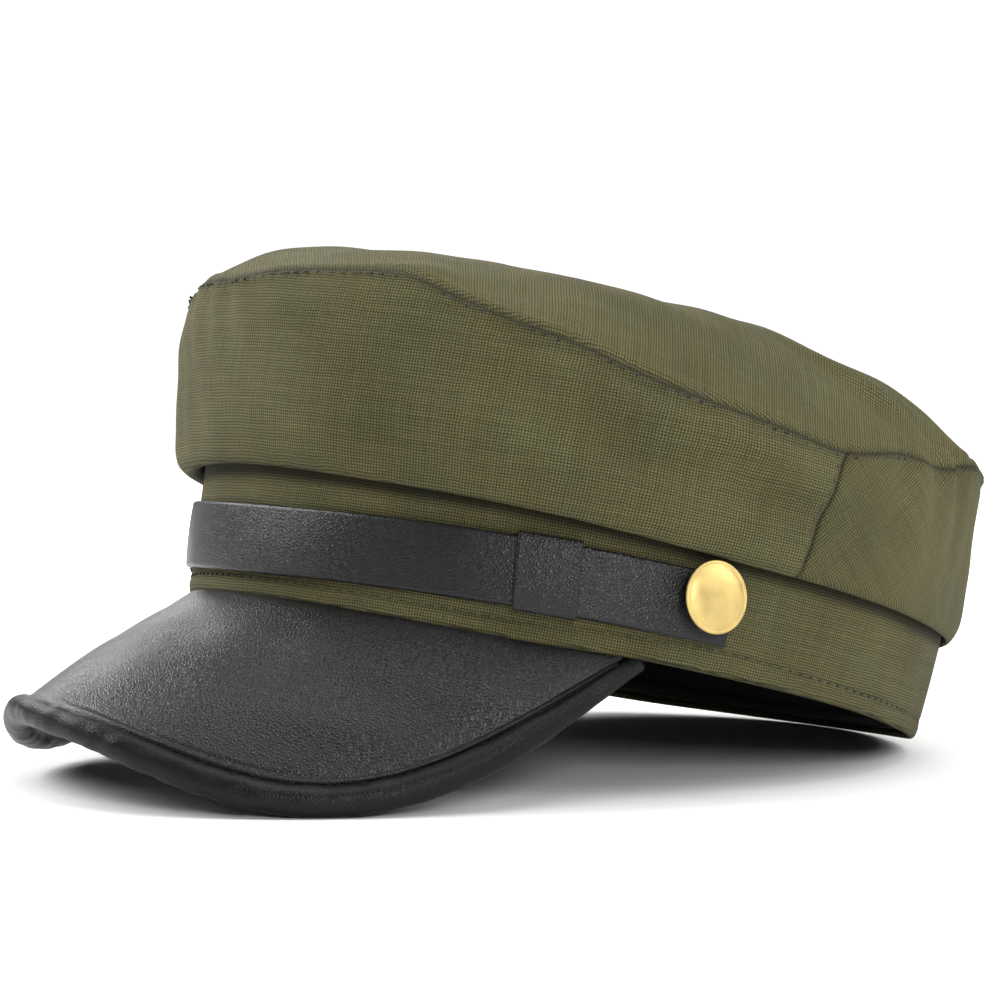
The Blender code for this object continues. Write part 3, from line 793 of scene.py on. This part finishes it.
def sweat_band():
    """Closed loop of leather-look 4.75 mm inside the oval: wavy, with a groove near either edge."""
    phi, wide = full_turn(260)
    t = np.linspace(0, 1, 30)[:, None]
    z = 0.9 + 30.0 * t
    wave = 0.25 * ripple(oval(phi, 0.0, z), 40, 41)
    o = -4.75 + wave * step(t, 0.1, 0.6) - 0.35 * bump(z, 3.0, 0.7) - 0.2 * bump(z, 30.0, 1.0)
    p = oval(phi, o, z)
    piece = lay("sweatband_leather", p, grid_uv(arc_length(wide) + 0 * t, z + 0 * wide), SWEAT_HIDE,
                wrap=True, thick=0.7)
    put(piece, "cap", "leather", "sweatband")
    line = np.linspace(-math.pi, math.pi, 1800)
    row = oval(line, -5.65 + 0 * line, 3.0 + 0 * line)
    put(sew("sweatband_stitches", row, lambda q: -flank_normal(q), BLACK_THREAD, 2.2, 0.2, 3.0),
        "cap", "leather")


# ---- visor ----
def ditch(u):
    """Distance of the stitched groove from the middle of the rolled edge: narrower in front."""
    return 2.4 + 0.9 * step(np.abs(u), 0.15, 0.45)


def visor_taper(u):
    """The rolled edge thins as it runs under the band at both ends."""
    return 1.0 - 0.36 * step(np.abs(u), 0.78, 1.04)


def visor_face(u, v, side):
    """Upper (side 1) or lower (side -1) face, straight from under the rim to the stitched ditch.

    Lifted by a sine across, by a ridge and a groove beside the ditch on the upper face, and by
    soft dents."""
    p, inward, up = visor_frame(u)
    k = visor_taper(u)[..., None]
    end = p + inward * (ditch(u)[..., None] * k * 0.92) + up * (1.9 * side * k)
    phi = np.radians(0.955 * u * VISOR_END)
    drop = -0.25 if side > 0 else -4.4
    start = oval(phi, -1.1 + 0 * u, drop + 0 * u)
    v3 = v[..., None]
    q = start * (1 - v3) + end * v3
    length = np.linalg.norm(end - start, axis=-1)
    near = (1 - v) * length
    full = 1.9 * np.sin(math.pi * v) * (1 - np.abs(u) ** 3)
    ridge = 0.85 * bump(near, 1.2, 0.8) - 0.4 * bump(near, 2.6, 0.5)
    ridge = ridge * (0.15 + 0.85 * step(u, -0.1, 0.4))
    dip = -0.35 * bump(near, 0.0, 0.5)
    dents = 0.22 * ripple(q, 26, 51) * np.sin(math.pi * v)
    lift = full + (ridge + dip) * (side > 0) + dents
    return q + up * lift[..., None]


def visor_sheet(name, side, material, *node_names):
    """One face of the visor as a sheet 0.8 mm thick, its rows closer together at the ditch."""
    cols, rows = 300, 90
    u = np.linspace(-0.99, 0.99, cols)[None, :] + np.zeros((rows, 1))
    v = 1 - (1 - np.linspace(0, 1, rows)[:, None]) ** 1.25 + np.zeros((1, cols))
    p = visor_face(u, v, side)
    uv = grid_uv(90 * u, 60 * v)
    piece = lay(name, p, uv, material, thick=0.8, reference=(0, -90, -400 if side > 0 else 400))
    put(piece, "cap", "leather", *node_names)


def roll_section(angle, u):
    """Rolled edge: half round outside, drawn in to the ditch inside, thinned at its ends."""
    k = visor_taper(u)
    s = np.where(np.abs(angle) < math.pi / 2, -ROLL_R * np.cos(angle),
                 -ditch(u) / math.cos(math.radians(30)) * np.cos(angle))
    n = ROLL_R * np.sin(angle)
    return s * k, n * k


def visor_roll():
    """Section of roll_section, closed across the inside, carried along the edge; ends filled."""
    u = np.linspace(-1.03, 1.03, 360)[:, None]
    angle = np.radians(np.concatenate([np.linspace(-150, 150, 44), [165.0, -165.0]]))[None, :]
    k = visor_taper(u)
    s, n = roll_section(angle, u)
    inside = np.abs(angle) > math.radians(151)
    s = np.where(inside, (ditch(u) - 0.5) * k, s)
    n = np.where(inside, np.sign(angle) * 0.6 * k, n)
    p, inward, up = visor_frame(u[:, 0])
    wrinkle = 0.10 * ripple(np.stack([90 * u + 0 * angle, 3 * angle + 0 * u, 0 * (u + angle)], -1), 5, 61)
    swell = 1 + 0.012 * np.sin(u * 61) + wrinkle / ROLL_R
    grid = p[:, None] + inward[:, None] * (s * swell)[..., None] + up[:, None] * (n * swell)[..., None]
    wide = np.concatenate([angle, angle[:, :1] + TAU], axis=1)
    uv = grid_uv(150 * u + 0 * wide, 4 * wide + 0 * u)
    piece = lay("visor_rolled_edge", grid, uv, ROLL_HIDE, wrap=True, ends=True)
    put(piece, "cap", "leather", "visor_edge_binding", "visor_edge_cord")
    u = np.linspace(-0.985, 0.985, 1500)
    for side, tag in ((1, "upper"), (-1, "lower")):
        p, inward, up = visor_frame(u)
        k = visor_taper(u)[:, None]
        line = p + inward * (ditch(u)[:, None] * 0.93 * k) + up * (side * 1.8 * k)

        def lift(q, side=side):
            """Normal at the row's nearest point."""
            near = np.array([np.argmin(((line - a) ** 2).sum(-1)) for a in q])
            return up[near] * side
        put(sew("visor_stitches_" + tag, line, lift, BLACK_THREAD, 2.0, 0.3, 2.7), "cap", "leather")


# ---- strap, slides, buttons ----
def band_bar(phi, offset, z):
    """Point offset from the leaning band face, square to it."""
    return oval(phi, offset, z) - np.array([0, 0, TAPER]) * (np.asarray(offset)[..., None])


def rounded_bar(width, thick, corner, count):
    """Closed outline of a flat strap's section: a rectangle with round corners."""
    pts = []
    for cx, cy, start in ((1, 1, 0), (-1, 1, 90), (-1, -1, 180), (1, -1, 270)):
        a = np.radians(start + np.linspace(0, 90, 5))
        pts.append(np.stack([cx * (width / 2 - corner) + corner * np.cos(a),
                             cy * (thick / 2 - corner) + corner * np.sin(a)], axis=-1))
    pts = np.concatenate(pts)
    pts = np.concatenate([pts, pts[:1]])
    seg = np.concatenate([[0], np.cumsum(np.linalg.norm(np.diff(pts, axis=0), axis=1))])
    at = np.linspace(0, seg[-1], count, endpoint=False)
    return np.stack([np.interp(at, seg, pts[:, 0]), np.interp(at, seg, pts[:, 1])], axis=-1)


def strap_mid(phi):
    """Height of the strap's middle: level in front, smoothly rising towards the buttons."""
    return STRAP_FRONT + STRAP_RISE * step(np.abs(degrees(phi)), 0, RISE_ANGLE)


def front_strap():
    """Flat strap section carried round the front of the band, cupped; slanting, filled ends."""
    bar = rounded_bar(STRAP_WIDTH, STRAP_THICK, 0.45, 60)
    phi = np.radians(np.linspace(-STRAP_END, STRAP_END, 420))[:, None]
    slant = np.sign(phi) * step(np.abs(phi), 1.1, 1.32) * KEEPER_SKEW * bar[None, :, 0] / STRAP_R
    phi = phi - slant
    z = strap_mid(phi) + bar[None, :, 0] + 0.15 * np.sin(5 * phi + 0.4)
    sag = 0.15 * ripple(np.stack([arc_length(phi) + 0 * z, z, 0 * z], -1), 34, 71)
    cup = -0.25 * (bar[None, :, 0] / 8.4) ** 2
    mid = STRAP_INNER + STRAP_THICK / 2 + 0.25 - 0.7 * bump(degrees(phi), -30, 16)
    p = band_bar(phi + 0 * z, mid + bar[None, :, 1] + sag + cup, z)
    wide = np.arange(61)[None, :] * 0.6
    uv = grid_uv(arc_length(phi[:, :1]) + 0 * wide, wide + 0 * phi[:, :1])
    piece = lay("front_strap_leather", p, uv, STRAP_HIDE, wrap=True, ends=True)
    put(piece, "strap", "leather", "front_strap")


def slide(side, tag):
    """A loop of thin leather-look round the strap: superellipse path, 14 mm wide, bulging in front."""
    a = np.linspace(0, TAU, 96, endpoint=False)[None, :]
    half_z = STRAP_WIDTH / 2 + 0.95
    power = 2 / 7.0
    rise = half_z * np.sign(np.sin(a)) * np.abs(np.sin(a)) ** power
    out = np.sign(np.cos(a)) * np.abs(np.cos(a)) ** power
    offset = 2.05 + 1.45 * out + 0.85 * step(out, 0, 1) * np.cos(rise / half_z * 1.5)
    phi = side * np.radians(KEEPER_ANGLE + np.linspace(-KEEPER_HALF, KEEPER_HALF, 26))[:, None]
    phi = phi - side * KEEPER_SKEW * rise / STRAP_R
    z = strap_mid(phi) + rise
    flare = 0.12 * step(np.abs(np.degrees(np.abs(phi)) - KEEPER_ANGLE), 3.5, 4.35)
    p = band_bar(phi + 0 * a, offset + flare * out, z + 0 * phi)
    wide = np.linspace(0, 44, 97)[None, :]
    uv = grid_uv(arc_length(phi[:, :1]) + 0 * wide, wide + 0 * phi[:, :1])
    centre = band_bar(np.array([side * math.radians(KEEPER_ANGLE)]), np.array([2.0]),
                      strap_mid(np.array([math.radians(KEEPER_ANGLE)])))[0]
    piece = lay("slide_leather_" + tag, p, uv, STRAP_HIDE, wrap=True, thick=0.5, reference=centre)
    put(piece, "slide_" + tag, "leather", "keeper_" + tag)


# radius and height above the oval, from the middle of the face round the rim to the hollow behind
BUTTON_PROFILE = ((0.0, 8.1), (2.0, 8.05), (4.0, 7.88), (5.7, 7.58), (6.8, 7.25), (7.4, 6.95),
                  (7.65, 6.8), (7.9, 6.78), (8.25, 6.84), (8.55, 6.73), (8.7, 6.43), (8.65, 6.13),
                  (8.4, 5.93), (7.7, 5.78), (4.0, 5.6), (2.2, 5.5), (1.9, 5.1), (1.75, 5.1), (1.7, 6.0),
                  (0.0, 6.05))


def button(side, tag):
    """Profile turned about the post's line: shallow dome, narrow rim, hollow for the post."""
    radius, height = np.array(BUTTON_PROFILE).T
    fine = np.linspace(0, len(radius) - 1, 90)
    radius = np.interp(fine, np.arange(len(radius)), radius)
    height = np.interp(fine, np.arange(len(height)), height)
    profile = settle(np.stack([radius, height], axis=-1)[:, None], 4)[:, 0]
    profile[0, 0] = profile[-1, 0] = 0.0
    phi = np.array([side * math.radians(BUTTON_ANGLE)])
    out = unit(np.array(BUTTON_LEAN) * (side, 1, 1))
    middle = oval(phi, np.zeros(1), np.array([BUTTON_Z]))[0]
    east = unit(np.cross(out, [0.0, 0.0, 1.0]))
    north = np.cross(out, east)
    a = (np.arange(96) / 96 * TAU)[None, :]
    r, h = profile[:, 0:1], profile[:, 1:2]
    p = (middle + (r * np.cos(a))[..., None] * east + (r * np.sin(a))[..., None] * north
         + (h + 0 * a)[..., None] * out)
    uv = np.zeros(p.shape[:1] + (97, 2))
    piece = lay("button_" + tag + "_brass", p, uv, BRASS, wrap=True, ends=True)
    put(piece, "snap_" + tag, "button_metal", "button_" + tag)


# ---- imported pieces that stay: only their finish changes ----
def finish_inner_pieces():
    """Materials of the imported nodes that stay."""
    finishes = {
        "headband_stiffener": STIFF_PLASTIC, "front_interlining": STIFF_CLOTH,
        "button_post_left": BRASS, "button_post_right": BRASS,
        "button_washer_left": STEEL, "button_washer_right": STEEL}
    for name, material in finishes.items():
        NODES[name].data.materials.clear()
        NODES[name].data.materials.append(material)


# ---- camera, floor and light ----
def camera():
    """Long lens from the wearer's left front, level with the cap as it stands."""
    turn, rise, roll = np.radians([52.51, -5.04, 11.11])
    distance, across, height = 999.5, -21.25, 38.16
    back = np.array([math.sin(turn) * math.cos(rise), -math.cos(turn) * math.cos(rise), math.sin(rise)])
    right = np.array([math.cos(turn), math.sin(turn), 0.0])
    up = np.cross(back, right)
    target = across * right + height * up
    side = math.cos(roll) * right + math.sin(roll) * up
    head = math.cos(roll) * up - math.sin(roll) * right
    cam = bpy.data.objects.new("camera", bpy.data.cameras.new("camera"))
    bpy.context.scene.collection.objects.link(cam)
    axes = [world(v) - RIM for v in (side, head, back)]
    turn_matrix = Matrix([unit(a) for a in axes]).transposed().to_4x4()
    cam.matrix_world = Matrix.Translation(Vector(world(target + distance * back))) @ turn_matrix
    cam.data.lens = 140.3
    cam.data.sensor_width = 36.0
    cam.data.clip_start, cam.data.clip_end = 0.05, 20.0
    bpy.context.scene.camera = cam


def lamp(name, kind, place, power, **settings):
    """A lamp of the given kind, turned towards the middle of the cap."""
    data = bpy.data.lights.new(name, kind)
    data.energy = power
    for key, value in settings.items():
        setattr(data, key, value)
    obj = bpy.data.objects.new(name, data)
    obj.location = place
    obj.rotation_euler = (Vector((0, 0, 0.05)) - Vector(place)).to_track_quat("-Z", "Y").to_euler()
    obj.visible_camera = False
    bpy.context.scene.collection.objects.link(obj)


PANELS = (("left_panel", (-1.00, -0.62, 0.88), 31.0, 1.5, 0.7),
          ("back_panel", (-1.30, 0.75, 0.60), 5.5, 0.9, 0.35),
          ("right_strip", (1.03, -0.40, 0.42), 6.0, 0.26, 0.30),
          ("right_panel", (0.90, 0.85, 0.72), 10.0, 0.5, 0.8))


def studio():
    """Pale floor and white surroundings; a wide soft key from above and a panel at either hand."""
    bpy.context.scene.view_settings.view_transform = "Standard"
    bpy.ops.mesh.primitive_plane_add(size=2.4, location=(0, 0, CAD_LOW.z))
    floor = bpy.context.object
    floor.name = "floor"
    mat, _, shader = new_material("pale_floor")
    shader.inputs["Base Color"].default_value = grey(0.93)
    shader.inputs["Roughness"].default_value = 0.7
    shader.inputs["Specular IOR Level"].default_value = 0.2
    floor.data.materials.append(mat)
    sky = bpy.data.worlds.new("soft_white")
    bpy.context.scene.world = sky
    sky.use_nodes = True
    tree = sky.node_tree
    seen = node(tree, "LightPath", output="Is Camera Ray")
    back = tree.nodes["Background"]
    back.inputs[0].default_value = grey(1.0)
    tree.links.new(ramp(tree, seen, 0.0, 1.0, 0.2, 1.1), back.inputs[1])
    lamp("overhead_sun", "SUN", (0.15, 0.25, 1.4), 2.15, angle=math.radians(50))
    for name, place, power, wide, high in PANELS:
        lamp(name, "AREA", place, power, shape="RECTANGLE", size=wide, size_y=high)


camera()
wall_piece("crown_front_cloth", -90, 90, 380, 96, CANVAS_SQUARE, "crown_front_panel")
wall_piece("crown_rear_cloth", 90, 270, 340, 96, CANVAS_BIAS, "crown_rear_panel")
top_piece()
crown_linings()
crown_stitching()
head_band()
sweat_band()
visor_sheet("visor_upper_leather", 1, VISOR_HIDE, "visor_top_cover", "visor_board")
visor_sheet("visor_lower_leather", -1, SWEAT_HIDE, "visor_under_cover")
visor_roll()
front_strap()
for hand, word in ((1, "left"), (-1, "right")):
    slide(hand, word)
    button(hand, word)
finish_inner_pieces()
studio()
